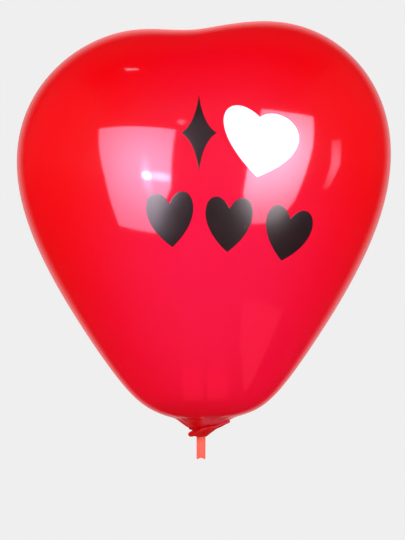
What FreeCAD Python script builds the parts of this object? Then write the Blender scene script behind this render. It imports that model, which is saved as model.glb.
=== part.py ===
"""Heart-shaped latex balloon, inflated and tied on a hollow plastic stick.

Millimetres, +Z up. The origin is the centre of the stick's lower end, X runs across the
heart's two lobes and -Y is the printed front.
"""

import FreeCAD, Part
import math
import os
import Sketcher

V = FreeCAD.Vector
X_AXIS = V(1, 0, 0)
Y_AXIS = V(0, 1, 0)
Z_AXIS = V(0, 0, 1)

doc = FreeCAD.newDocument("heart_balloon")

# ---------------------------------------------------------------- driving dimensions
SIZES = [
    ("stick_radius", 3.0, "outer radius of the stick"),
    ("stick_bore_radius", 2.2, "radius of the stick's blind bore"),
    ("stick_length", 36.0, "whole length of the stick"),
    ("stick_free_length", 15.2, "land that stands out below the neck"),
    ("stick_waist_depth", 0.3, "depth of the seat that the neck is tied on"),
    ("stick_waist_top", 21.4, "upper end of that seat"),
    ("stick_cap_thick", 2.0, "closed top of the stick"),
    ("stick_cap_chamfer", 1.5, "lead-in on the closed top"),
    ("notch_radius", 3.5, "radius of the hollow across the cut end"),
    ("notch_depth", 0.8, "depth of the hollow across the cut end"),
    ("band_radius", 5.4, "centre line radius of each turn of the band"),
    ("band_cord_radius", 0.75, "half thickness of the rubber band"),
    ("band_height", 18.6, "height of the lower turn"),
    ("band_pitch", 1.3, "rise from one turn to the next"),
    ("neck_bottom", 15.4, "lower edge of the gathered neck"),
    ("neck_top", 21.0, "upper edge of the gathered neck"),
    ("neck_bore_radius", 3.05, "inside of the gathered neck"),
    ("neck_radius", 4.2, "outside of the gathered neck"),
    ("neck_waist_radius", 4.6, "outside of the neck where the band is wound"),
    ("lip_centre_x", 5.5, "middle of the rolled lip, across"),
    ("lip_centre_z", 21.1, "middle of the rolled lip, up"),
    ("lip_length_radius", 13.35, "half length of the lip's oval centre line"),
    ("lip_width_radius", 10.0, "half width of the lip's oval centre line"),
    ("lip_bead_radius", 1.1, "radius of the rolled bead"),
    ("lip_tilt", 17.9, "slope of the lip, degrees, up towards +X"),
    ("cuff_half_wall", 0.3, "half wall of the turned-up cuff"),
    ("cuff_foot_radius", 4.3, "radius where the cuff leaves the neck"),
    ("throat_foot_radius", 4.9, "inside of the throat at the tie"),
    ("throat_bulge_radius", 6.8, "outside of the throat at the tie"),
    ("throat_foot_z", 21.5, "height of the throat's lower edge"),
    ("throat_bend_radius", 10.7, "lower bend of the throat"),
    ("throat_bend_z", 23.2, "height of the lower bend"),
    ("throat_flare_radius", 14.1, "upper bend of the throat"),
    ("throat_flare_z", 25.3, "height of the upper bend"),
    ("throat_rim_radius", 15.7, "upper rim of the throat"),
    ("throat_rim_z", 26.3, "height of the upper rim"),
    ("throat_wall", 0.5, "wall of the throat"),
    ("mouth_radius", 16.0, "hole in the skin that the throat opens into"),
    ("skin_wall", 0.3, "wall of the skin"),
    ("skin_centre_x", 1.9, "the skin's mid line, across"),
    ("skin_bottom", 25.7, "height of the skin's underside"),
    ("skin_height", 263.3, "height of the skin before its lobes are raised"),
    ("depth_share", 0.72, "front-to-back size over side-to-side size"),
    ("lobe_slope", 0.153, "rise of the lobes per millimetre from the mid line"),
    ("cleft_offset", -4.0, "the cleft, across from the skin's mid line"),
    ("cleft_round", 10.0, "rounding of the cleft between the lobes"),
    ("lean_slope", 0.046, "extra rise of the +X lobe per millimetre"),
    ("lean_power", 2.0, "how strongly the lean is kept to the top"),
    ("ink_gap", 0.1, "ink starts this far off the latex"),
    ("ink_top", 0.3, "ink ends this far off the latex"),
    ("stamp_reach", 130.0, "reach of the print outlines towards the front"),
]

sheet = doc.addObject("Spreadsheet::Sheet", "dims")
for row, (alias, value, meaning) in enumerate(SIZES, start=1):
    sheet.set(f"A{row}", meaning)
    sheet.set(f"B{row}", str(value))
    sheet.setAlias(f"B{row}", alias)
doc.recompute()


def size(expression):
    """The value of an expression in the sheet's aliases, each written dims.alias."""
    return float(sheet.evalExpression(expression))


def bind(thing, **expressions):
    """Binds properties of a document object to expressions in the sheet."""
    for path, expression in expressions.items():
        thing.setExpression(path.replace("__", "."), expression)
    return thing


def named(thing, label):
    thing.Label = label
    return thing


# ---------------------------------------------------------------- sketch helpers
def plane(body, role):
    """One of the body's own origin planes."""
    return next(f for f in body.Origin.OriginFeatures if f.Role == role)


def front_sketch(body, name):
    """A sketch whose x is the model's X and whose y is the model's Z, facing -Y."""
    sketch = body.newObject("Sketcher::SketchObject", name)
    sketch.AttachmentSupport = [(plane(body, "XZ_Plane"), "")]
    sketch.MapMode = "FlatFace"
    return sketch


def turned_body(label, corners):
    """A solid of revolution about Z from corners given as (radius, height) expressions."""
    body = named(doc.addObject("PartDesign::Body", label), label)
    sketch = front_sketch(body, label + "_profile")
    points = [V(size(radius), size(height), 0) for radius, height in corners]
    for start, end in zip(points, points[1:] + points[:1]):
        sketch.addGeometry(Part.LineSegment(start, end))
    for index, (radius, height) in enumerate(corners):
        after = (index + 1) % len(corners)
        sketch.addConstraint(Sketcher.Constraint("Coincident", index, 2, after, 1))
        across = Sketcher.Constraint("DistanceX", -1, 1, index, 1, points[index].x)
        sketch.setExpression(f"Constraints[{sketch.addConstraint(across)}]", radius)
        up = Sketcher.Constraint("DistanceY", -1, 1, index, 1, points[index].y)
        sketch.setExpression(f"Constraints[{sketch.addConstraint(up)}]", height)
    turn = body.newObject("PartDesign::Revolution", label + "_turn")
    turn.Profile = sketch
    turn.ReferenceAxis = (sketch, ["V_Axis"])
    turn.Angle = 360.0
    return body


def cut(label, base, tool):
    piece = named(doc.addObject("Part::Cut", label), label)
    piece.Base = base
    piece.Tool = tool
    return piece


def common(label, base, tool):
    piece = named(doc.addObject("Part::Common", label), label)
    piece.Base = base
    piece.Tool = tool
    return piece


# ---------------------------------------------------------------- stick
def make_stick():
    """Hollow stick: open, hollowed lower end, shallow tying seat, closed upper end."""
    seat = "dims.stick_radius - dims.stick_waist_depth"
    corners = [
        ("dims.stick_bore_radius", "0"),
        ("dims.stick_radius", "0"),
        ("dims.stick_radius", "dims.stick_free_length"),
        (seat, "dims.stick_free_length + dims.stick_waist_depth"),
        (seat, "dims.stick_waist_top"),
        ("dims.stick_radius", "dims.stick_waist_top + dims.stick_waist_depth"),
        ("dims.stick_radius", "dims.stick_length - dims.stick_cap_chamfer"),
        ("dims.stick_radius - dims.stick_cap_chamfer", "dims.stick_length"),
        ("0", "dims.stick_length"),
        ("0", "dims.stick_length - dims.stick_cap_thick"),
        ("dims.stick_bore_radius", "dims.stick_length - dims.stick_cap_thick"),
    ]
    tube = turned_body("stick_blank", corners)
    notch = doc.addObject("Part::Cylinder", "end_hollow")
    bind(notch, Radius="dims.notch_radius", Height="4 * dims.stick_radius")
    notch.Placement.Rotation = FreeCAD.Rotation(X_AXIS, 90)
    bind(notch, Placement__Base__y="2 * dims.stick_radius")
    bind(notch, Placement__Base__z="dims.notch_depth - dims.notch_radius")
    return cut("stick_tube", tube, notch)


# ---------------------------------------------------------------- tie and neck
def make_tie_band():
    """Rubber band wound twice round the neck; the turns are pressed together."""
    turns = []
    for turn in range(2):
        ring = doc.addObject("Part::Torus", f"band_turn_{turn + 1}")
        bind(ring, Radius1="dims.band_radius", Radius2="dims.band_cord_radius")
        bind(ring, Placement__Base__z=f"dims.band_height + {turn} * dims.band_pitch")
        turns.append(ring)
    band = named(doc.addObject("Part::MultiFuse", "tie_band"), "tie_band")
    band.Shapes = turns
    return band


def make_neck_sleeve():
    """Neck latex gathered round the stick, thickest where the band grips it."""
    corners = [
        ("dims.neck_bore_radius", "dims.neck_bottom"),
        ("dims.neck_radius", "dims.neck_bottom"),
        ("dims.neck_radius", "dims.band_height - dims.band_pitch"),
        ("dims.neck_waist_radius", "dims.band_height"),
        ("dims.neck_waist_radius", "dims.neck_top"),
        ("dims.neck_bore_radius", "dims.neck_top"),
    ]
    return turned_body("neck_sleeve", corners)


def lip_oval(name, grow, lift):
    """Oval in the lip's tilted plane, its radii grown and its middle lifted."""
    oval = doc.addObject("Part::Ellipse", name)
    bind(oval, MajorRadius=f"dims.lip_length_radius + ({grow})")
    bind(oval, MinorRadius=f"dims.lip_width_radius + ({grow})")
    oval.Placement.Rotation = FreeCAD.Rotation(Y_AXIS, -size("dims.lip_tilt"))
    bind(oval, Placement__Base__x="dims.lip_centre_x")
    bind(oval, Placement__Base__z=f"dims.lip_centre_z + ({lift})")
    return oval


def make_rolled_lip():
    """The neck's rolled bead, pulled to a tilted oval."""
    path = lip_oval("lip_path", "0", "0")
    doc.recompute()
    bead = doc.addObject("Part::Circle", "lip_bead")
    bind(bead, Radius="dims.lip_bead_radius")
    start = path.Shape.Edges[0].valueAt(path.Shape.Edges[0].FirstParameter)
    heading = path.Shape.Edges[0].tangentAt(path.Shape.Edges[0].FirstParameter)
    bead.Placement = FreeCAD.Placement(start, FreeCAD.Rotation(Z_AXIS, heading))
    lip = named(doc.addObject("Part::Sweep", "rolled_lip"), "rolled_lip")
    lip.Sections = [bead]
    lip.Spine = (path, ["Edge1"])
    lip.Solid = True
    lip.Frenet = True
    return lip


def cuff_form(name, foot_radius, foot_height, grow, lift):
    """Solid from a round foot on the neck to the oval of the lip."""
    foot = doc.addObject("Part::Circle", name + "_foot")
    bind(foot, Radius=foot_radius)
    bind(foot, Placement__Base__z=foot_height)
    form = doc.addObject("Part::Loft", name)
    form.Sections = [foot, lip_oval(name + "_rim", grow, lift)]
    form.Solid = True
    form.Ruled = True
    return form


def make_neck_cuff(lip):
    """Cuff turned up over the tie, from the neck's lower edge to the rolled lip."""
    outside = cuff_form("cuff_outside", "dims.cuff_foot_radius", "dims.neck_bottom",
                        "dims.cuff_half_wall", "0")
    inside = cuff_form("cuff_inside", "dims.cuff_foot_radius - dims.cuff_half_wall",
                       "dims.neck_bottom + 2 * dims.cuff_half_wall",
                       "-dims.cuff_half_wall", "dims.cuff_half_wall")
    wall = cut("cuff_wall", outside, inside)
    core = doc.addObject("Part::Cylinder", "cuff_core")
    bind(core, Radius="dims.neck_radius", Height="dims.stick_length")
    around_neck = cut("cuff_around_neck", wall, core)
    return cut("neck_cuff", around_neck, lip)


def make_neck_throat():
    """Funnel from the tie up into the skin."""
    corners = [
        ("dims.throat_foot_radius", "dims.throat_foot_z"),
        ("dims.throat_bulge_radius", "dims.throat_foot_z"),
        ("dims.throat_bend_radius", "dims.throat_bend_z"),
        ("dims.throat_flare_radius", "dims.throat_flare_z"),
        ("dims.throat_rim_radius", "dims.throat_rim_z"),
        ("dims.throat_rim_radius", "dims.throat_rim_z + dims.throat_wall"),
        ("dims.throat_flare_radius", "dims.throat_flare_z + dims.throat_wall"),
        ("dims.throat_bend_radius", "dims.throat_bend_z + dims.throat_wall"),
        ("dims.throat_bulge_radius", "dims.throat_foot_z + 2 * dims.throat_wall"),
        ("dims.throat_foot_radius", "dims.throat_foot_z + 2 * dims.throat_wall"),
    ]
    return turned_body("neck_throat", corners)


# ---------------------------------------------------------------- skin
# Poles of the Bezier meridian: (radius in mm, share of the skin's height).
MERIDIAN_POLES = [
    (0.0, 0.0), (75.8, 0.0), (30.0, 0.009), (114.4, 0.472),
    (216.4, 0.419), (105.9, 1.031), (67.7, 1.0), (0.0, 1.0),
]
RINGS = 20          # sections of the loft from the underside to the crown
RING_POINTS = 32    # points that each section is drawn through
STEP = 1e-4         # parameter step for the surface normal


class Skin:
    """The inflated heart: a flattened egg whose two sides are raised into lobes."""

    def __init__(self):
        self.bottom = size("dims.skin_bottom")
        self.height = size("dims.skin_height")
        self.centre_x = size("dims.skin_centre_x")
        self.depth_share = size("dims.depth_share")
        self.lobe_slope = size("dims.lobe_slope")
        self.cleft_offset = size("dims.cleft_offset")
        self.cleft_round = size("dims.cleft_round")
        self.lean_slope = size("dims.lean_slope")
        self.lean_power = size("dims.lean_power")
        self.meridian = Part.BezierCurve()
        self.meridian.setPoles([V(radius, share, 0) for radius, share in MERIDIAN_POLES])

    def raw(self, along, angle):
        """Point at along (0 underside, 1 crown) and angle about the vertical."""
        station = self.meridian.value(along)
        across = station.x * math.cos(angle)
        deep = self.depth_share * station.x * math.sin(angle)
        share = max(station.y, 0.0)
        lobes = (math.hypot(across - self.cleft_offset, self.cleft_round)
                 - math.hypot(self.cleft_offset, self.cleft_round))
        lean = self.lean_slope * across * share ** self.lean_power
        rise = self.height * station.y + self.lobe_slope * lobes + lean
        return V(self.centre_x + across, deep, self.bottom + rise)

    def point(self, along, angle, outward):
        """The same point moved outward along the surface normal."""
        spot = self.raw(along, angle)
        up = self.raw(along + STEP, angle) - self.raw(along - STEP, angle)
        round_ = self.raw(along, angle + STEP) - self.raw(along, angle - STEP)
        normal = round_.cross(up)
        return spot + normal.normalize() * outward

    def ring(self, along, outward):
        turns = [2 * math.pi * i / RING_POINTS for i in range(RING_POINTS)]
        curve = Part.BSplineCurve()
        curve.interpolate([self.point(along, a, outward) for a in turns], PeriodicFlag=True)
        return Part.Wire([curve.toShape()])

    def solid(self, outward):
        """Closed solid of the skin's surface, moved outward everywhere."""
        underside = Part.Vertex(self.raw(0.0, 0.0) - Z_AXIS * outward)
        crown = Part.Vertex(self.raw(1.0, 0.0) + Z_AXIS * outward)
        rings = [self.ring(i / RINGS, outward) for i in range(1, RINGS)]
        return Part.makeLoft([underside] + rings + [crown], True, False)


def surface_form(name, outward):
    form = doc.addObject("Part::Feature", name)
    form.Shape = Skin().solid(outward)
    return form


def make_balloon_skin():
    """Shell of the heart, open at the throat."""
    outside = surface_form("skin_outside", 0.0)
    inside = surface_form("skin_inside", -size("dims.skin_wall"))
    shell = cut("skin_shell", outside, inside)
    mouth = doc.addObject("Part::Cylinder", "skin_mouth")
    bind(mouth, Radius="dims.mouth_radius", Height="2 * dims.skin_bottom")
    return cut("balloon_skin", shell, mouth)


# ---------------------------------------------------------------- printed ink
def bezier(*poles):
    curve = Part.BezierCurve()
    curve.setPoles(list(poles))
    return curve.toBSpline()


def heart_outline(centre, width, height, tilt):
    """Two mirrored cubic curves from the cleft to the tip, turned by tilt degrees."""
    def at(across, up):
        turned = FreeCAD.Rotation(Z_AXIS, tilt).multVec(V(across * width, up * height, 0))
        return V(*centre, 0) + turned
    cleft = at(0, 0.28)
    tip = at(0, -0.52)
    return [bezier(cleft, at(side * 0.38, 0.86), at(side * 1.06, 0.14), tip)
            for side in (-1, 1)]


def white_heart_outline():
    """The large heart, stretched on its +X side by the curve of the balloon."""
    cleft = V(38.3, 226.3, 0)
    tip = V(36.3, 187.1, 0)
    return [bezier(cleft, V(18.5, 245.9, 0), V(-2.0, 225.5, 0), tip),
            bezier(cleft, V(54.6, 237.2, 0), V(87.6, 206.9, 0), tip)]


def sparkle_outline(centre, half_width, half_height):
    """Four points joined by inward curves."""
    pinch = 0.22
    corners = [V(half_width, 0, 0), V(0, half_height, 0),
               V(-half_width, 0, 0), V(0, -half_height, 0)]
    middle = V(*centre, 0)
    return [bezier(middle + a, middle + (a + b) * pinch, middle + b)
            for a, b in zip(corners, corners[1:] + corners[:1])]


PRINTS = {
    "printed_white_heart": white_heart_outline(),
    "printed_black_sparkle": sparkle_outline((-1.3, 215.8), 11.5, 25.0),
    "printed_black_heart_left": heart_outline((-19.8, 160.0), 27.0, 35.0, 4.0),
    "printed_black_heart_middle": heart_outline((17.9, 156.8), 27.0, 35.0, -3.0),
    "printed_black_heart_right": heart_outline((56.2, 150.6), 27.0, 34.5, -12.0),
}


def make_print(label, outline, ink_top, ink_floor):
    """Ink film: the outline carried straight to the front, kept between two surfaces."""
    stamp = named(doc.addObject("PartDesign::Body", label + "_stamp"), label + "_stamp")
    sketch = front_sketch(stamp, label + "_outline")
    for curve in outline:
        sketch.addGeometry(curve)
    pad = stamp.newObject("PartDesign::Pad", label + "_pad")
    pad.Profile = sketch
    bind(pad, Length="dims.stamp_reach")
    under_top = common(label + "_block", stamp, ink_top)
    return cut(label, under_top, ink_floor)


def make_prints():
    ink_top = surface_form("ink_surface", size("dims.ink_top"))
    ink_floor = surface_form("ink_floor", size("dims.ink_gap"))
    return [make_print(label, outline, ink_top, ink_floor)
            for label, outline in PRINTS.items()]


# ---------------------------------------------------------------- build and write
lip = make_rolled_lip()
PIECES = [make_stick(), make_tie_band(), make_neck_sleeve(), make_neck_cuff(lip), lip,
          make_neck_throat(), make_balloon_skin()] + make_prints()
doc.recompute()

for thing in doc.Objects:
    if "Invalid" in thing.State or "Error" in thing.State:
        raise RuntimeError(f"{thing.Label} failed: {thing.State}")

os.makedirs("parts", exist_ok=True)
for piece in PIECES:
    if piece.Shape.isNull() or not piece.Shape.isValid() or not piece.Shape.Solids:
        raise RuntimeError(f"{piece.Label} has no valid solid")
    piece.Shape.exportStep(f"parts/{piece.Label}.step")
    box = piece.Shape.BoundBox
    print(f"{piece.Label:28} {len(piece.Shape.Solids)} solid(s) {piece.Shape.Volume:10.1f} mm3"
          f"  x {box.XMin:.1f}..{box.XMax:.1f} y {box.YMin:.1f}..{box.YMax:.1f}"
          f" z {box.ZMin:.1f}..{box.ZMax:.1f}")
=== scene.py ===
"""The looks of the heart-shaped latex balloon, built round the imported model."""

import math

import bpy
import numpy as np
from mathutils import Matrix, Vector


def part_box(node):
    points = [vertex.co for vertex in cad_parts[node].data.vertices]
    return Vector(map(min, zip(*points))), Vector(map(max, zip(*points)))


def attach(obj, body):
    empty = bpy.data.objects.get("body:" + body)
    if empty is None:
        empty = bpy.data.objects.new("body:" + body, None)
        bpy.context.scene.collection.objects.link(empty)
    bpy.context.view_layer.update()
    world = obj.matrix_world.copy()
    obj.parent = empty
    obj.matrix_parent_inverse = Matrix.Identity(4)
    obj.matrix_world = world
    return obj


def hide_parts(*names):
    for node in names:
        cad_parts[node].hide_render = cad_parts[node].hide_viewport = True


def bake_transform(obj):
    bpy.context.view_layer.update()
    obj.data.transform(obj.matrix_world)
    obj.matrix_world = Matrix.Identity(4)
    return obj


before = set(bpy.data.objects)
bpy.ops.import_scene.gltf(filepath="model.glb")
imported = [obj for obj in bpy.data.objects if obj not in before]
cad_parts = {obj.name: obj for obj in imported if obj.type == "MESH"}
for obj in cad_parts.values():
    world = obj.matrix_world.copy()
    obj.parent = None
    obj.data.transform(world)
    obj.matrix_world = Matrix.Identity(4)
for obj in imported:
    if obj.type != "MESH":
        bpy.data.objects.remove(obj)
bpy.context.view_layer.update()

MM = 0.001
TAU = 2.0 * math.pi

STICK_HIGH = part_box("stick_tube")[1]
BAND_LOW, BAND_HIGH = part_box("tie_band")


# ---------------------------------------------------------------- mesh helpers
def smoothstep(value, low, high):
    """0 to 1 as the value goes from low to high, eased at both ends."""
    share = np.clip((value - low) / (high - low), 0.0, 1.0)
    return share * share * (3.0 - 2.0 * share)


def new_piece(name, vertices, faces, smooth=True):
    """A mesh object from points in metres and faces given as tuples of point numbers."""
    mesh = bpy.data.meshes.new(name)
    mesh.from_pydata([tuple(v) for v in vertices], [], faces)
    mesh.validate()
    mesh.update()
    piece = bpy.data.objects.new(name, mesh)
    bpy.context.scene.collection.objects.link(piece)
    for polygon in mesh.polygons:
        polygon.use_smooth = smooth
    return piece


def ring_faces(rings, count, closed_tube=False):
    """Quads between consecutive rings of count points; closed_tube joins last to first."""
    faces = []
    last = rings if closed_tube else rings - 1
    for r in range(last):
        a, b = r * count, ((r + 1) % rings) * count
        for i in range(count):
            j = (i + 1) % count
            faces.append((a + i, a + j, b + j, b + i))
    return faces


def thicken(piece, thickness, offset):
    """Gives a sheet a wall; offset is the Solidify modifier's own."""
    solid = piece.modifiers.new("wall", "SOLIDIFY")
    solid.thickness = thickness
    solid.offset = offset
    solid.use_even_offset = True
    apply_modifiers(piece)


def apply_modifiers(piece):
    """Puts the modifiers' result in the piece's mesh, shaded smooth."""
    graph = bpy.context.evaluated_depsgraph_get()
    mesh = bpy.data.meshes.new_from_object(piece.evaluated_get(graph))
    old = piece.data
    piece.modifiers.clear()
    piece.data = mesh
    bpy.data.meshes.remove(old)
    for polygon in mesh.polygons:
        polygon.use_smooth = True


# ---------------------------------------------------------------- shape of the skin
# The CAD skin's flattened egg, whose sides rise into two lobes. Near the neck this one also
# turns round, dips into a funnel and is pleated, and its crown has a dent. Lengths are in mm.
MERIDIAN_RADII = (0.0, 75.8, 30.0, 114.4, 216.4, 105.9, 67.7, 0.0)
MERIDIAN_SHARES = (0.0, 0.0, 0.009, 0.472, 0.419, 1.031, 1.0, 1.0)
SKIN_BOTTOM = 25.7
SKIN_HEIGHT = 263.3
SKIN_CENTRE_X = 1.9
DEPTH_SHARE = 0.72
LOBE_SLOPE = 0.153
CLEFT_OFFSET = -4.0
CLEFT_ROUND = 10.0
LEAN_SLOPE = 0.046
LEAN_POWER = 2.0
DENT_DEPTH = 1.3       # extra dip of the crown beside the cleft
DENT_MIDDLE = -20.0
DENT_WIDTH = 22.0
DENT_POWER = 8         # how strongly the dent is kept to the top
ROUND_FADE = (8.0, 40.0)    # radii over which the section goes from round to flattened
EVEN_FADE = (30.0, 80.0)    # radii over which the lobes start to raise the two sides apart

# The funnel that the skin draws down into the tie.
FUNNEL_DIP = 5.6
FUNNEL_INNER = 5.0
FUNNEL_OUTER = 22.5    # radius where the funnel starts
FUNNEL_SHIFT = 2.5     # how much further out it starts on the +X side
FUNNEL_END = 8.1       # radius where the tuck takes over
# Radius and height of the tuck's rings, from the funnel's end in to the neck.
TUCK = ((7.95, 20.05), (7.7, 19.75), (7.4, 19.7), (7.1, 20.0), (7.0, 20.9), (6.9, 21.8),
        (6.6, 22.7), (5.8, 23.4), (4.7, 23.5))
TUCK_FOLD = 0.3
PLEAT_DEPTH = 0.5
PLEAT_FADE = (9.0, 36.0)    # radii over which the pleats die out
# Number of folds round the neck, phase and weight of each set.
PLEATS = ((9, 0.4, 1.0), (14, 2.1, 0.8), (23, 4.4, 0.55), (5, 1.3, 0.5))


def bezier(poles, along):
    """Bezier polynomial with those scalar poles at an array of parameters."""
    degree = len(poles) - 1
    return sum(math.comb(degree, i) * along**i * (1 - along)**(degree - i) * pole
               for i, pole in enumerate(poles))


def pleats(angle):
    """Uneven folds round the neck, about -1 to 1."""
    total = sum(weight for _, _, weight in PLEATS)
    return sum(weight * np.cos(count * angle + phase) for count, phase, weight in PLEATS) / total


def lobe_rise(across):
    """Height that the two lobes add, in mm, at a distance across from the mid line."""
    return LOBE_SLOPE * (np.hypot(across - CLEFT_OFFSET, CLEFT_ROUND)
                         - math.hypot(CLEFT_OFFSET, CLEFT_ROUND))


def skin_points(along, angle):
    """Points of the skin in mm at meridian parameters and angles of the same shape."""
    radius = bezier(MERIDIAN_RADII, along)
    share = bezier(MERIDIAN_SHARES, along)
    below = along < 0.5
    round_share = (1.0 - smoothstep(radius, *ROUND_FADE)) * below
    cone_share = (1.0 - smoothstep(radius, *EVEN_FADE)) * below
    depth = DEPTH_SHARE + (1.0 - DEPTH_SHARE) * round_share
    across = radius * np.cos(angle)
    deep = depth * radius * np.sin(angle)
    evenly = 0.5 * (lobe_rise(radius) + lobe_rise(-radius))
    rise = lobe_rise(across) * (1.0 - cone_share) + evenly * cone_share
    lean = LEAN_SLOPE * across * np.clip(share, 0, 1)**LEAN_POWER
    dent = DENT_DEPTH * np.exp(-((across - DENT_MIDDLE) / DENT_WIDTH)**2)
    dent = dent * share**DENT_POWER * ~below
    up = SKIN_BOTTOM + SKIN_HEIGHT * share + rise + lean - dent
    outer = FUNNEL_OUTER + FUNNEL_SHIFT * np.cos(angle)
    dip = FUNNEL_DIP * (1.0 - smoothstep(radius, FUNNEL_INNER, outer)) * below
    fold = PLEAT_DEPTH * (1.0 - smoothstep(radius, *PLEAT_FADE)) * below * pleats(angle)
    grow = 1.0 + fold / np.maximum(radius, 1.0)
    centre = SKIN_CENTRE_X * (1.0 - round_share)
    return np.stack([centre + across * grow, deep * grow, up - dip - 0.5 * fold], axis=-1)


SEGMENTS = 240
TABLE_POINTS = 6001    # points that the meridian's length is summed over
FINE_STEP = 0.8        # mm of meridian between rings, as far as FINE_END mm along it
FINE_END = 34.0
COARSE_STEP = 3.0      # mm between the rings above that


def meridian_stations():
    """Meridian parameters from the funnel's end to the crown, close together near the neck."""
    table = np.linspace(0.0, 1.0, TABLE_POINTS)
    lower = TABLE_POINTS // 2
    radius = bezier(MERIDIAN_RADII, table)
    height = bezier(MERIDIAN_SHARES, table) * SKIN_HEIGHT
    length = np.concatenate([[0], np.cumsum(np.hypot(np.diff(radius), np.diff(height)))])
    start = np.interp(FUNNEL_END, radius[:lower], length[:lower])
    fine = np.arange(start, FINE_END, FINE_STEP)
    coarse = np.linspace(FINE_END, length[-1], int((length[-1] - FINE_END) / COARSE_STEP))
    return np.interp(np.concatenate([fine, coarse]), length, table)


def make_skin():
    """The heart's skin and its funnel, one sheet that is open only at the tie."""
    stations = meridian_stations()
    angles = np.arange(SEGMENTS) * TAU / SEGMENTS
    rings = []
    for radius, height in reversed(TUCK):
        fold = 1.0 + TUCK_FOLD * pleats(angles) / radius
        rings.append(np.stack([radius * fold * np.cos(angles), radius * fold * np.sin(angles),
                               np.full(SEGMENTS, height)], axis=-1))
    for along in stations[:-1]:
        rings.append(skin_points(np.full(SEGMENTS, along), angles))
    crown = skin_points(np.array([1.0]), np.array([0.0]))
    vertices = np.concatenate(rings + [crown]) * MM
    faces = ring_faces(len(rings), SEGMENTS)
    last = (len(rings) - 1) * SEGMENTS
    faces += [(last + i, last + (i + 1) % SEGMENTS, len(vertices) - 1) for i in range(SEGMENTS)]
    piece = new_piece("heart_skin", vertices, faces)
    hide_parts("balloon_skin", "neck_throat")
    return piece


# ---------------------------------------------------------------- printed ink
INK_RINGS = 26
INK_POINTS = 220
INK_TOP = 0.10      # mm that the film stands above the skin
INK_RIM = 0.085     # the same at the film's rim
INK_UNDER = -0.10   # its underside, sunk into the skin
INK_CREASE = math.radians(40)    # edges sharper than this are shaded sharp
NEWTON_STEPS = 12


def cubic(poles, count):
    """Points of a Bezier curve from its first pole up to, and without, its last."""
    share = np.linspace(0.0, 1.0, count, endpoint=False)
    return np.stack([bezier([p[k] for p in poles], share) for k in (0, 1)], axis=-1)


def heart_outline(centre, width, height, tilt):
    """Two mirrored cubic curves from the cleft to the tip, turned by tilt degrees."""
    cos_t, sin_t = math.cos(math.radians(tilt)), math.sin(math.radians(tilt))

    def at(across, up):
        x, z = across * width, up * height
        return centre[0] + x * cos_t - z * sin_t, centre[1] + x * sin_t + z * cos_t

    cleft, tip = at(0, 0.28), at(0, -0.52)
    left = cubic([cleft, at(-0.38, 0.86), at(-1.06, 0.14), tip], INK_POINTS // 2)
    right = cubic([tip, at(1.06, 0.14), at(0.38, 0.86), cleft], INK_POINTS // 2)
    return np.concatenate([left, right])


def white_heart_outline():
    """The large heart, stretched on its +X side by the curve of the balloon."""
    cleft, tip = (38.3, 226.3), (36.3, 187.1)
    left = cubic([cleft, (18.5, 245.9), (-2.0, 225.5), tip], INK_POINTS // 2)
    right = cubic([tip, (87.6, 206.9), (54.6, 237.2), cleft], INK_POINTS // 2)
    return np.concatenate([left, right])


def sparkle_outline(centre, half_width, half_height):
    """Four points joined by inward curves."""
    pinch = 0.22
    corners = np.array([(half_width, 0), (0, half_height), (-half_width, 0), (0, -half_height)])
    middle = np.array(centre)
    sides = [cubic([middle + a, middle + (a + b) * pinch, middle + b], INK_POINTS // 4)
             for a, b in zip(corners, np.roll(corners, -1, axis=0))]
    return np.concatenate(sides)


WHITE_HEART_MIDDLE = (39.0, 209.0)
SPARKLE_MIDDLE = (-1.3, 215.8)
BLACK_HEARTS = {  # middle, width, height and tilt of each
    "left": ((-19.8, 160.0), 27.0, 35.0, 4.0),
    "middle": ((17.9, 156.8), 27.0, 35.0, -3.0),
    "right": ((56.2, 150.6), 27.0, 34.5, -12.0),
}
PRINTS = {  # slot, outline and middle of each
    "printed_white_heart": ("white_ink", white_heart_outline(), WHITE_HEART_MIDDLE),
    "printed_black_sparkle": ("black_ink", sparkle_outline(SPARKLE_MIDDLE, 11.5, 25.0),
                              SPARKLE_MIDDLE),
}
for side, heart in BLACK_HEARTS.items():
    PRINTS["printed_black_heart_" + side] = ("black_ink", heart_outline(*heart), heart[0])


def front_points(x, z):
    """Points in mm and outward normals of the skin's front at arrays of x and z in mm."""
    table = np.linspace(0.02, 0.98, 400)
    along = np.interp(z, SKIN_BOTTOM + SKIN_HEIGHT * bezier(MERIDIAN_SHARES, table), table)
    across = (x - SKIN_CENTRE_X) / bezier(MERIDIAN_RADII, along)
    angle = -np.arccos(np.clip(across, -0.95, 0.95))
    step = 1e-4
    for _ in range(NEWTON_STEPS):
        spot = skin_points(along, angle)
        by_along = (skin_points(along + step, angle) - spot) / step
        by_angle = (skin_points(along, angle + step) - spot) / step
        miss_x, miss_z = x - spot[:, 0], z - spot[:, 2]
        area = by_along[:, 0] * by_angle[:, 2] - by_along[:, 2] * by_angle[:, 0]
        along = along + (miss_x * by_angle[:, 2] - miss_z * by_angle[:, 0]) / area
        angle = angle + (miss_z * by_along[:, 0] - miss_x * by_along[:, 2]) / area
    normal = np.cross(by_along, by_angle)
    normal *= -np.sign(normal[:, 1:2]) / np.linalg.norm(normal, axis=1)[:, None]
    return spot, normal


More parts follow.
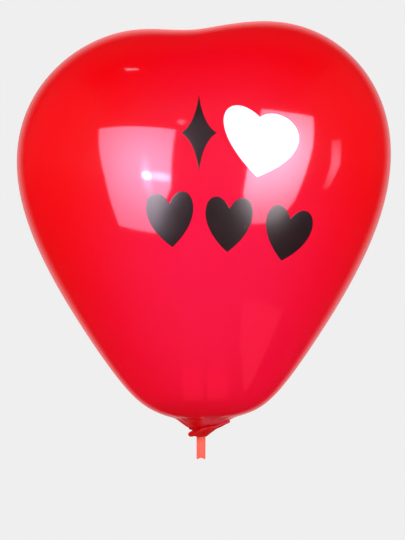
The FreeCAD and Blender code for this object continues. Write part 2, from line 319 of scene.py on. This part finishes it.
def make_print(node, outline, middle):
    """A closed film of ink that follows the skin, from an outline drawn on the front."""
    middle = np.array(middle)
    shares = np.arange(INK_RINGS, 0, -1) / INK_RINGS
    flat = np.concatenate([middle + (outline - middle) * share for share in shares] + [[middle]])
    spot, normal = front_points(flat[:, 0], flat[:, 1])
    lift = np.full((len(flat), 1), INK_TOP)
    count = len(outline)
    lift[:count] = INK_RIM
    vertices = np.concatenate([spot + normal * lift, spot + normal * INK_UNDER]) * MM
    half = len(flat)
    faces = ring_faces(INK_RINGS, count)
    inner = (INK_RINGS - 1) * count
    faces += [(inner + i, inner + (i + 1) % count, half - 1) for i in range(count)]
    faces += [tuple(half + v for v in reversed(face)) for face in faces]
    faces += [((i + 1) % count, i, half + i, half + (i + 1) % count) for i in range(count)]
    piece = new_piece(node.replace("printed", "ink"), vertices, faces)
    piece.data.set_sharp_from_angle(angle=INK_CREASE)
    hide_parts(node)
    return piece


# ---------------------------------------------------------------- neck, tie and stick
NECK_SEGMENTS = 180
NECK_PROFILE = ((4.5, 23.7), (4.5, 22.4), (4.5, 20.8), (4.45, 19.6), (4.35, 18.6), (4.15, 17.4),
                (4.0, 16.4), (3.95, 15.7), (3.8, 15.35), (3.45, 15.3), (3.15, 15.6), (3.06, 16.4))
LIP_CENTRE = (5.5, 0.0, 20.9)
LIP_LENGTH_RADIUS = 13.35
LIP_WIDTH_RADIUS = 10.0
LIP_TILT = math.radians(19.0)
NECK_FOLD = 0.22            # mm of pleat on the rings wider than NECK_FOLD_FROM
NECK_FOLD_FROM = 3.3
NECK_FOLD_SHIFT = 0.6       # draws the pleated rings in
NECK_WALL = 0.25
CUFF_FOOT_RADIUS = 4.0
CUFF_FOOT_HEIGHT = 15.4
CUFF_FOOT_FOLD = 0.15
CUFF_BEND = (0.33, 0.33, 0.47)    # middle pole of its curve, as shares of x, y and z to the lip
CUFF_STEPS = 28
CUFF_FOLD = 0.4
CUFF_FOLD_RATE = 1.15       # the folds run out at 1 / rate of the way to the lip
CUFF_WALL = 0.3
BEAD_POINTS = 240
BEAD_RADIUS = 1.7
BEAD_THINNING = 0.4         # how much thinner the bead is at its raised tip
BEAD_RIPPLE = 0.05


def lip_centre_line(angle):
    """Centre line of the rolled lip in mm, a tilted and slightly wavy oval."""
    wave = 0.35 * np.cos(3 * angle + 0.6) + 0.25 * np.cos(5 * angle + 2.0)
    along = (LIP_LENGTH_RADIUS + 0.4 * wave) * np.cos(angle)
    wide = (LIP_WIDTH_RADIUS + wave) * np.sin(angle)
    lift = 0.6 * np.sin(angle) ** 2 * np.cos(4 * angle + 1.0)
    return np.stack([LIP_CENTRE[0] + along * math.cos(LIP_TILT),
                     wide,
                     LIP_CENTRE[2] + along * math.sin(LIP_TILT) + lift], axis=-1)


def make_neck():
    """Gathered neck from above the band to its lower edge, in uneven pleats."""
    angles = np.arange(NECK_SEGMENTS) * TAU / NECK_SEGMENTS
    rings = []
    for radius, height in NECK_PROFILE:
        depth = NECK_FOLD if radius > NECK_FOLD_FROM else 0.0
        folded = radius + depth * (pleats(angles) - NECK_FOLD_SHIFT)
        rings.append(np.stack([folded * np.cos(angles), folded * np.sin(angles),
                               np.full(NECK_SEGMENTS, height)], axis=-1))
    piece = new_piece("gathered_neck", np.concatenate(rings) * MM,
                      ring_faces(len(rings), NECK_SEGMENTS))
    thicken(piece, NECK_WALL * MM, -1.0)
    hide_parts("neck_sleeve")
    return piece


def make_cuff():
    """Cuff from the neck's lower edge out and up to the lip."""
    angles = np.arange(NECK_SEGMENTS) * TAU / NECK_SEGMENTS
    lip = lip_centre_line(angles)
    foot_radius = CUFF_FOOT_RADIUS - CUFF_FOOT_FOLD + CUFF_FOOT_FOLD * pleats(angles)
    foot = np.stack([foot_radius * np.cos(angles), foot_radius * np.sin(angles),
                     np.full(NECK_SEGMENTS, CUFF_FOOT_HEIGHT)], axis=-1)
    bend = foot + (lip - foot) * np.array(CUFF_BEND)
    rings = []
    for step in range(CUFF_STEPS + 1):
        share = step / CUFF_STEPS
        ring = (1 - share)**2 * foot + 2 * share * (1 - share) * bend + share**2 * lip
        swell = math.sin(math.pi * min(share * CUFF_FOLD_RATE, 1.0))
        ring[:, 2] -= CUFF_FOLD * swell * pleats(angles)
        rings.append(ring)
    piece = new_piece("turned_cuff", np.concatenate(rings) * MM,
                      ring_faces(len(rings), NECK_SEGMENTS))
    thicken(piece, CUFF_WALL * MM, 0.0)
    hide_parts("neck_cuff")
    return piece


def tube_mesh(name, line, radii, closed, sides=20):
    """Round tube along an (n, 3) line in mm; radii holds one radius per point."""
    count = len(line)
    if closed:
        heading = np.roll(line, -1, axis=0) - np.roll(line, 1, axis=0)
    else:
        heading = np.gradient(line, axis=0)
    heading /= np.linalg.norm(heading, axis=1)[:, None]
    up = np.tile([0.0, 0.0, 1.0], (count, 1))
    side = np.cross(heading, up)
    side /= np.linalg.norm(side, axis=1)[:, None]
    top = np.cross(side, heading)
    turn = np.arange(sides) * TAU / sides
    rings = [line[i] + radii[i] * (np.outer(np.cos(turn), side[i]) + np.outer(np.sin(turn), top[i]))
             for i in range(count)]
    faces = ring_faces(count, sides, closed_tube=closed)
    vertices = np.concatenate(rings)
    if not closed:
        last = (count - 1) * sides
        faces.append(tuple(reversed(range(sides))))
        faces.append(tuple(range(last, last + sides)))
    return new_piece(name, vertices * MM, faces)


def make_lip():
    """The rolled bead, thick on the low side and thin at the raised tip."""
    angles = np.arange(BEAD_POINTS) * TAU / BEAD_POINTS
    raised = 0.5 + 0.5 * np.cos(angles)
    radii = BEAD_RADIUS - BEAD_THINNING * raised + BEAD_RIPPLE * np.cos(7 * angles)
    piece = tube_mesh("rolled_bead", lip_centre_line(angles), radii, closed=True)
    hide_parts("rolled_lip")
    return piece


BAND_CORD_RADIUS = 0.7
BAND_TURNS = 2.25
BAND_POINTS = 260
BAND_START = 2.4       # angle of the lower end
BAND_RISE = 1.35       # from the lower end to the upper
BAND_RADIUS = 5.4      # of the cord's centre line


def make_band():
    """Round rubber cord wound a little over twice round the neck."""
    share = np.linspace(0.0, 1.0, BAND_POINTS)
    angle = share * BAND_TURNS * TAU + BAND_START
    middle = 0.5 * (BAND_LOW[2] + BAND_HIGH[2]) / MM
    height = middle + (share - 0.5) * BAND_RISE + 0.06 * np.sin(3 * angle)
    radius = BAND_RADIUS + 0.10 * np.sin(2 * angle + 0.5)
    line = np.stack([radius * np.cos(angle), radius * np.sin(angle), height], axis=-1)
    radii = np.full(BAND_POINTS, BAND_CORD_RADIUS)
    piece = tube_mesh("wound_band", line, radii, closed=False)
    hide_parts("tie_band")
    return piece


STICK_SEGMENTS = 96
STICK_WALL = 0.8
BORE_TOP = 34.0
SEAT_LOW = 15.2        # the seat that the neck is tied on
SEAT_HIGH = 21.4
SEAT_DEPTH = 0.3
NOTCH_DEPTH = 0.8      # the hollow across the cut end
NOTCH_HALF_WIDTH = 2.4
NOTCH_FADE = (0.3, 2.5)    # heights over which the hollow dies out


def make_stick():
    """Thin-walled tube with a softly rounded cut and a closed top with a rounded edge."""
    outer = STICK_HIGH[0] / MM
    top = STICK_HIGH[2] / MM
    bore = outer - STICK_WALL
    seat = outer - SEAT_DEPTH
    profile = [(bore, BORE_TOP), (bore, 0.35), (bore + 0.12, 0.08), (bore + 0.3, 0.0),
               (outer - 0.25, 0.0), (outer - 0.07, 0.08), (outer, 0.3), (outer, SEAT_LOW),
               (seat, SEAT_LOW + SEAT_DEPTH), (seat, SEAT_HIGH),
               (outer, SEAT_HIGH + SEAT_DEPTH), (outer, top - 1.5),
               (outer - 0.35, top - 0.6), (outer - 1.5, top)]
    angles = np.arange(STICK_SEGMENTS) * TAU / STICK_SEGMENTS
    across = outer * np.cos(angles) / NOTCH_HALF_WIDTH
    hollow = NOTCH_DEPTH * np.clip(1.0 - across**2, 0.0, 1.0)
    rings = []
    for radius, height in profile:
        raised = hollow * (1.0 - smoothstep(np.array(height), *NOTCH_FADE))
        rings.append(np.stack([radius * np.cos(angles), radius * np.sin(angles),
                               height + raised], axis=-1))
    vertices = np.concatenate(rings + [[(0, 0, BORE_TOP)], [(0, 0, top)]])
    faces = ring_faces(len(rings), STICK_SEGMENTS)
    last = (len(rings) - 1) * STICK_SEGMENTS
    for i in range(STICK_SEGMENTS):
        j = (i + 1) % STICK_SEGMENTS
        faces.append((j, i, len(vertices) - 2))
        faces.append((last + i, last + j, len(vertices) - 1))
    piece = new_piece("hollow_stick", vertices * MM, faces)
    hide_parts("stick_tube")
    return piece


# ---------------------------------------------------------------- materials
class Nodes:
    """Short names for building one material's node tree."""

    def __init__(self, name):
        self.material = bpy.data.materials.new(name)
        self.material.use_nodes = True
        self.tree = self.material.node_tree
        self.shader = self.tree.nodes["Principled BSDF"]

    def add(self, kind, **values):
        node = self.tree.nodes.new(kind)
        for key, value in values.items():
            if hasattr(node, key):
                setattr(node, key, value)
            else:
                node.inputs[key.replace("_", " ")].default_value = value
        return node

    def link(self, source, target):
        self.tree.links.new(source, target)

    def set(self, **values):
        for key, value in values.items():
            self.shader.inputs[key.replace("_", " ")].default_value = value

    def position(self):
        return self.add("ShaderNodeTexCoord").outputs["Object"]

    def stretched(self, vector, scale):
        node = self.add("ShaderNodeMapping")
        node.inputs["Scale"].default_value = scale
        self.link(vector, node.inputs["Vector"])
        return node.outputs[0]

    def split(self, vector):
        node = self.add("ShaderNodeSeparateXYZ")
        self.link(vector, node.inputs[0])
        return node.outputs

    def math(self, operation, first, second=None):
        node = self.add("ShaderNodeMath", operation=operation)
        for socket, value in zip(node.inputs, (first, second)):
            if value is None:
                continue
            if hasattr(value, "links"):
                self.link(value, socket)
            else:
                socket.default_value = value
        return node.outputs[0]

    def length(self, first, second):
        """Length of the vector with those two components."""
        squares = self.math("ADD", self.math("MULTIPLY", first, first),
                            self.math("MULTIPLY", second, second))
        return self.math("SQRT", squares)

    def span(self, value, low, high, to_low=0.0, to_high=1.0):
        node = self.add("ShaderNodeMapRange", interpolation_type="SMOOTHSTEP")
        self.link(value, node.inputs["Value"])
        node.inputs["From Min"].default_value = low
        node.inputs["From Max"].default_value = high
        node.inputs["To Min"].default_value = to_low
        node.inputs["To Max"].default_value = to_high
        return node.outputs["Result"]

    def noise(self, vector, scale, detail=3.0):
        node = self.add("ShaderNodeTexNoise")
        node.inputs["Scale"].default_value = scale
        node.inputs["Detail"].default_value = detail
        self.link(vector, node.inputs["Vector"])
        return node.outputs["Fac"]

    def blend(self, share, first, second):
        node = self.add("ShaderNodeMix", data_type="RGBA")
        self.link(share, node.inputs[0])
        for socket, value in ((node.inputs[6], first), (node.inputs[7], second)):
            if hasattr(value, "links"):
                self.link(value, socket)
            else:
                socket.default_value = (*value, 1.0)
        return node.outputs[2]

    def bump(self, height, strength, distance):
        node = self.add("ShaderNodeBump")
        node.inputs["Strength"].default_value = strength
        node.inputs["Distance"].default_value = distance
        self.link(height, node.inputs["Height"])
        self.link(node.outputs[0], self.shader.inputs["Normal"])


BACKLIGHT_GLOW = 0.6       # how far a painted glow of backlight through the latex covers the red on the funnel's folds
BACKLIGHT_GLOW_COLOUR = (0.62, 0.07, 0.09)
COAT_IOR = 2.2    # glossier than real latex, so that dimmer lights give the same highlights
# Middle and half size, in metres, of the oval over which the belly is painted pinker, a painted
# reflection of the lit room in front.
BELLY_X, BELLY_HALF_WIDTH = 0.012, 0.095
BELLY_Z, BELLY_HALF_HEIGHT = 0.125, 0.150


def latex(name, belly_with_reflection, edge, neck, gloss, haze):
    """Stretched latex with a painted pink reflection over the belly and a painted backlight glow on
    the funnel's folds; thick and dark at the neck.
    """
    n = Nodes(name)
    position = n.position()
    x, y, z = n.split(position)
    across = n.math("DIVIDE", n.math("SUBTRACT", x, BELLY_X), BELLY_HALF_WIDTH)
    above = n.math("DIVIDE", n.math("SUBTRACT", z, BELLY_Z), BELLY_HALF_HEIGHT)
    # Painted reflection: the belly's oval is blended to the pinker colour and broken up by a cloud.
    painted_reflection = n.span(n.length(across, above), 0.15, 1.2, 1.0, 0.0)
    cloud = n.noise(position, 14.0, 2.0)
    painted_reflection = n.math("MULTIPLY", painted_reflection, n.span(cloud, 0.2, 0.8, 0.85, 1.0))
    colour = n.blend(painted_reflection, edge, belly_with_reflection)
    near = n.math("MULTIPLY", n.span(n.length(x, y), 0.008, 0.050, 1.0, 0.0),
                  n.span(z, 0.024, 0.060, 1.0, 0.0))
    colour = n.blend(near, colour, neck)
    # Painted glow of backlight: pinker streaks on a band of heights just above the neck.
    folds = n.span(n.noise(n.stretched(position, (1.0, 1.0, 0.2)), 90.0, 1.0), 0.40, 0.62)
    funnel = n.math("MULTIPLY", n.span(z, 0.0225, 0.0255), n.span(z, 0.0270, 0.0305, 1.0, 0.0))
    backlight_glow = n.math("MULTIPLY", n.math("MULTIPLY", funnel, folds), BACKLIGHT_GLOW)
    n.link(n.blend(backlight_glow, colour, BACKLIGHT_GLOW_COLOUR), n.shader.inputs["Base Color"])
    n.link(n.span(n.noise(position, 60.0), 0.3, 0.7, 0.14, 0.18), n.shader.inputs["Roughness"])
    n.bump(n.noise(position, 900.0, 2.0), 0.05, 0.00004)
    n.set(IOR=1.5, Specular_IOR_Level=0.12)
    n.set(Coat_Weight=gloss, Coat_Roughness=haze, Coat_IOR=COAT_IOR)
    n.set(Sheen_Weight=0.8, Sheen_Roughness=0.35, Sheen_Tint=(1.0, 0.015, 0.02, 1.0))
    return n.material


def white_ink():
    """Semi-matte white with a faint mottle."""
    n = Nodes("white_ink")
    position = n.position()
    mottle = n.noise(position, 220.0, 4.0)
    n.link(n.blend(n.span(mottle, 0.35, 0.7), (0.93, 0.93, 0.93), (0.88, 0.88, 0.89)),
           n.shader.inputs["Base Color"])
    n.link(n.span(mottle, 0.3, 0.7, 0.38, 0.48), n.shader.inputs["Roughness"])
    n.bump(n.noise(position, 1500.0, 3.0), 0.08, 0.00003)
    return n.material


def black_ink():
    """Glossy black with a red cast from the latex, and a few pinholes."""
    n = Nodes("black_ink")
    position = n.position()
    mottle = n.noise(position, 120.0, 3.0)
    body = n.blend(n.span(mottle, 0.3, 0.8), (0.011, 0.003, 0.006), (0.016, 0.004, 0.008))
    pinholes = n.span(n.noise(position, 170.0, 0.0), 0.815, 0.835)
    n.link(n.blend(pinholes, body, (0.55, 0.02, 0.05)), n.shader.inputs["Base Color"])
    n.link(n.span(mottle, 0.3, 0.7, 0.205, 0.225), n.shader.inputs["Roughness"])
    n.set(IOR=2.3, Specular_IOR_Level=1.0, Specular_Tint=(1.0, 0.66, 0.50, 1.0))
    return n.material


def stick_plastic():
    """Translucent orange-red tube with fine extrusion lines along it."""
    n = Nodes("stick_plastic")
    position = n.position()
    lines = n.noise(n.stretched(position, (1.0, 1.0, 0.02)), 1400.0, 3.0)
    n.link(n.blend(n.span(lines, 0.3, 0.7), (0.96, 0.102, 0.052), (0.98, 0.122, 0.066)),
           n.shader.inputs["Base Color"])
    n.link(n.span(lines, 0.3, 0.7, 0.42, 0.50), n.shader.inputs["Roughness"])
    n.bump(lines, 0.12, 0.00003)
    n.set(IOR=1.49, Transmission_Weight=0.1, Specular_IOR_Level=0.25)
    n.set(Sheen_Weight=0.25, Sheen_Roughness=0.4, Sheen_Tint=(1.0, 0.25, 0.18, 1.0))
    return n.material


def band_rubber():
    """Dark red rubber with a fine grain."""
    n = Nodes("band_rubber")
    position = n.position()
    grain = n.noise(position, 1200.0, 4.0)
    n.link(n.blend(n.span(grain, 0.3, 0.7), (0.42, 0.008, 0.012), (0.55, 0.014, 0.018)),
           n.shader.inputs["Base Color"])
    n.link(n.span(grain, 0.3, 0.7, 0.40, 0.52), n.shader.inputs["Roughness"])
    n.bump(grain, 0.2, 0.00005)
    return n.material


# ---------------------------------------------------------------- stage, light and camera
FRAME_MIDDLE = (1.0 * MM, 0.0, 126.9 * MM)
FRAME_HEIGHT = 362.7 * MM
CAMERA_DISTANCE = 2.5
SENSOR = 36.0
BACKGROUND = 0.863
FLOOR_HEIGHT = -0.12
FLOOR_HALF = 6.0
PANEL_DISTANCE = 2.0
FILL_ANGLE = math.radians(120)
FILLS = {  # azimuth, elevation and energy of each
    "fill_front": (0, -10, 4.9),
    "fill_left": (-90, -12, 4.3),
    "fill_right": (90, -12, 3.7),
    "fill_back": (180, 20, 2.4),
}
# Strength of the room by how far +Y a direction points: start, end and strength at each.
ROOM_BEHIND = (0.67, 1.05, 0.006, 0.55)
ROOM_IN_FRONT = (0.1, -0.8, 0.0, 0.035)


def emission(name, colour, strength, glows=()):
    """Emissive material; each glow brightens an oval round one direction."""
    material = bpy.data.materials.new(name)
    material.use_nodes = True
    tree = material.node_tree
    tree.nodes.remove(tree.nodes["Principled BSDF"])
    shader = tree.nodes.new("ShaderNodeEmission")
    shader.inputs["Color"].default_value = (*colour, 1.0)
    shader.inputs["Strength"].default_value = strength
    tree.links.new(shader.outputs[0], tree.nodes["Material Output"].inputs["Surface"])
    total = None
    for glow in glows:
        share = glow_strength(tree, *glow)
        if total:
            add = tree.nodes.new("ShaderNodeMath")
            tree.links.new(total, add.inputs[0])
            tree.links.new(share, add.inputs[1])
            share = add.outputs[0]
        total = share
    if total:
        add = tree.nodes.new("ShaderNodeMath")
        add.inputs[1].default_value = strength
        tree.links.new(total, add.inputs[0])
        tree.links.new(add.outputs[0], shader.inputs["Strength"])
    return material


def glow_strength(tree, azimuth, elevation, half_width, half_height, gain):
    """Socket that falls from gain at a direction to 0 at that many degrees from it."""
    spot = Vector(FRAME_MIDDLE) + direction(azimuth, elevation) * PANEL_DISTANCE
    right = Vector((math.cos(math.radians(azimuth)), math.sin(math.radians(azimuth)), 0.0))
    up = Vector((0.0, 0.0, 1.0))
    place = tree.nodes.new("ShaderNodeTexCoord").outputs["Object"]
    offset = tree.nodes.new("ShaderNodeVectorMath")
    offset.operation = "SUBTRACT"
    offset.inputs[1].default_value = spot
    tree.links.new(place, offset.inputs[0])
    pair = tree.nodes.new("ShaderNodeCombineXYZ")
    for socket, axis, half in ((0, right, half_width), (1, up, half_height)):
        along = tree.nodes.new("ShaderNodeVectorMath")
        along.operation = "DOT_PRODUCT"
        along.inputs[1].default_value = axis / (PANEL_DISTANCE * math.radians(half))
        tree.links.new(offset.outputs[0], along.inputs[0])
        tree.links.new(along.outputs["Value"], pair.inputs[socket])
    far = tree.nodes.new("ShaderNodeVectorMath")
    far.operation = "LENGTH"
    tree.links.new(pair.outputs[0], far.inputs[0])
    fade = tree.nodes.new("ShaderNodeMapRange")
    fade.interpolation_type = "SMOOTHSTEP"
    fade.inputs["To Min"].default_value = gain
    fade.inputs["To Max"].default_value = 0.0
    tree.links.new(far.outputs["Value"], fade.inputs["Value"])
    return fade.outputs[0]


def direction(azimuth, elevation):
    """Unit vector from the balloon; azimuth 0 is towards the camera, positive to +X."""
    a, e = math.radians(azimuth), math.radians(elevation)
    return Vector((math.sin(a) * math.cos(e), -math.cos(a) * math.cos(e), math.sin(e)))


def make_panel(name, corners, colour, strength, glows=()):
    """A flat light that the camera doesn't see, from the directions of its corners."""
    middle = Vector(FRAME_MIDDLE)
    vertices = [middle + direction(*corner) * PANEL_DISTANCE for corner in corners]
    panel = new_piece(name, vertices, [tuple(range(len(vertices)))], smooth=False)
    panel.data.materials.append(emission(name, colour, strength, glows))
    panel.visible_camera = False


def make_fill(name, azimuth, elevation, energy):
    """Broad light that shades the object without showing in its gloss."""
    light = bpy.data.lights.new(name, "SUN")
    light.energy = energy
    light.angle = FILL_ANGLE
    lamp = bpy.data.objects.new(name, light)
    bpy.context.scene.collection.objects.link(lamp)
    lamp.rotation_mode = "QUATERNION"
    lamp.rotation_quaternion = (-direction(azimuth, elevation)).to_track_quat("-Z", "Y")
    lamp.visible_glossy = False


def make_world():
    """Pale all round for the camera; for reflections pale behind the balloon, dim in front."""
    world = bpy.data.worlds.new("studio")
    bpy.context.scene.world = world
    world.use_nodes = True
    tree = world.node_tree
    backdrop = tree.nodes["Background"]
    backdrop.inputs["Color"].default_value = (1, 1, 1, 1)
    backdrop.inputs["Strength"].default_value = BACKGROUND
    room = tree.nodes.new("ShaderNodeBackground")
    room.inputs["Color"].default_value = (1, 1, 1, 1)
    facing = tree.nodes.new("ShaderNodeTexCoord")
    parts = tree.nodes.new("ShaderNodeSeparateXYZ")
    tree.links.new(facing.outputs["Generated"], parts.inputs[0])
    total = tree.nodes.new("ShaderNodeMath")
    for socket, (start, end, low, high) in enumerate((ROOM_BEHIND, ROOM_IN_FRONT)):
        span = tree.nodes.new("ShaderNodeMapRange")
        span.interpolation_type = "SMOOTHSTEP"
        span.inputs["From Min"].default_value = start
        span.inputs["From Max"].default_value = end
        span.inputs["To Min"].default_value = low
        span.inputs["To Max"].default_value = high
        tree.links.new(parts.outputs["Y"], span.inputs["Value"])
        tree.links.new(span.outputs[0], total.inputs[socket])
    tree.links.new(total.outputs[0], room.inputs["Strength"])
    path = tree.nodes.new("ShaderNodeLightPath")
    choose = tree.nodes.new("ShaderNodeMixShader")
    tree.links.new(path.outputs["Is Camera Ray"], choose.inputs[0])
    tree.links.new(room.outputs[0], choose.inputs[1])
    tree.links.new(backdrop.outputs[0], choose.inputs[2])
    tree.links.new(choose.outputs[0], tree.nodes["World Output"].inputs["Surface"])


def make_floor():
    """Pale floor that lights the underside; hidden, so that views from below are open."""
    corners = [(x * FLOOR_HALF, y * FLOOR_HALF, FLOOR_HEIGHT)
               for x, y in ((-1, -1), (1, -1), (1, 1), (-1, 1))]
    floor = new_piece("pale_floor", corners, [(0, 1, 2, 3)], smooth=False)
    floor.data.materials.append(emission("pale_floor", (1, 1, 1), BACKGROUND))
    floor.visible_camera = False
    floor.visible_glossy = False


def make_camera():
    data = bpy.data.cameras.new("camera")
    data.sensor_width = SENSOR
    data.sensor_height = SENSOR
    data.lens = SENSOR * CAMERA_DISTANCE / FRAME_HEIGHT
    data.clip_start = 0.01
    data.clip_end = 50.0
    camera = bpy.data.objects.new("camera", data)
    bpy.context.scene.collection.objects.link(camera)
    camera.location = Vector(FRAME_MIDDLE) - Vector((0, CAMERA_DISTANCE, 0))
    camera.rotation_euler = (math.radians(90), 0, 0)
    bpy.context.scene.camera = camera


# Corners of each reflected light as (azimuth, elevation), its colour, its strength, and the
# glows on it: azimuth, elevation, half width, half height in degrees and added strength.
PANELS = {
    "window_left": (((-53, 26.5), (-30, 31), (-11, 31.5), (-15, -1), (-27, -23), (-47, -21),
                     (-48, 0)), (0.66, 0.84, 1.3), 1.2,
                    ((-24, 8, 34, 38, 1.6), (-25.8, 3.5, 3.5, 14, 1.5), (-19, 3.8, 9, 3.5, 4.0),
                     (-25.8, 3.5, 2.6, 2.6, 24.0))),
    "window_right": (((25, 39), (40, 34), (56, 28.5), (53, 12.5), (47, -12), (41, -20), (27, -20),
                      (19, -6), (19, 8)), (0.66, 0.88, 1.22), 0.9,
                     ((32, 11, 38, 36, 3.1), (24, 8, 7, 34, 0.3))),
    "strip_right": (((66, 14), (73.5, 13.5), (73.5, 2), (67.5, -8), (63, -8), (66, 2)),
                    (0.66, 0.85, 1.2), 0.25, ((69, 3, 9, 14, 0.75),)),
    "ceiling_lamp": (((-77, 66), (-63, 69.5), (-60, 69), (-70, 65.5)), (0.66, 0.9, 1.2), 1.6),
    "ceiling_spot": (((-10.8, 36.4), (-8.9, 38.3), (-6.8, 36.9), (-8.6, 34.4)),
                     (0.66, 0.9, 1.2), 0.9),
    "table_left": (((-40, -62), (4, -65), (3, -85.6), (-86, -76)), (1.0, 0.06, 0.12), 0.45),
    "table_right": (((12.4, -64.6), (44.7, -60.8), (77.7, -72.6), (35.2, -84.5)),
                    (1.0, 0.06, 0.12), 0.45),
    "tall_leaf": (((34.6, -44.3), (50.7, -43.3), (73.7, -42.2), (81, -51), (90, -60.6),
                   (48.6, -54)), (1.0, 0.15, 0.2), 0.35),
}


def make_studio():
    make_world()
    make_floor()
    make_camera()
    for name, panel in PANELS.items():
        make_panel(name, *panel)
    for name, fill in FILLS.items():
        make_fill(name, *fill)
    view = bpy.context.scene.view_settings
    view.view_transform = "Standard"
    view.look = "None"


# ---------------------------------------------------------------- assembly
make_studio()
skin = make_skin()
inks = {node: make_print(node, outline, middle)
        for node, (slot, outline, middle) in PRINTS.items()}
neck = make_neck()
cuff = make_cuff()
lip = make_lip()
band = make_band()
stick = make_stick()

# The second colour is the belly's painted pink reflection of the room in front; the third is the
# plain red of the rest of the skin.
skin_latex = latex("skin_latex", (0.90, 0.0012, 0.041), (0.88, 0.0006, 0.0032),
                   (0.62, 0.0006, 0.0025), 1.0, 0.065)
neck_latex = latex("neck_latex", (0.58, 0.0006, 0.003), (0.58, 0.0006, 0.003),
                   (0.50, 0.0005, 0.0025), 0.08, 0.3)
skin.data.materials.append(skin_latex)
for piece in (neck, cuff, lip):
    piece.data.materials.append(neck_latex)
inks_by_slot = {"white_ink": white_ink(), "black_ink": black_ink()}
for node, piece in inks.items():
    piece.data.materials.append(inks_by_slot[PRINTS[node][0]])
    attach(piece, "balloon")
band.data.materials.append(band_rubber())
stick.data.materials.append(stick_plastic())

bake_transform(skin)
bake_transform(neck)
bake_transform(cuff)
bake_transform(lip)
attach(band, "tie")
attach(stick, "stick")
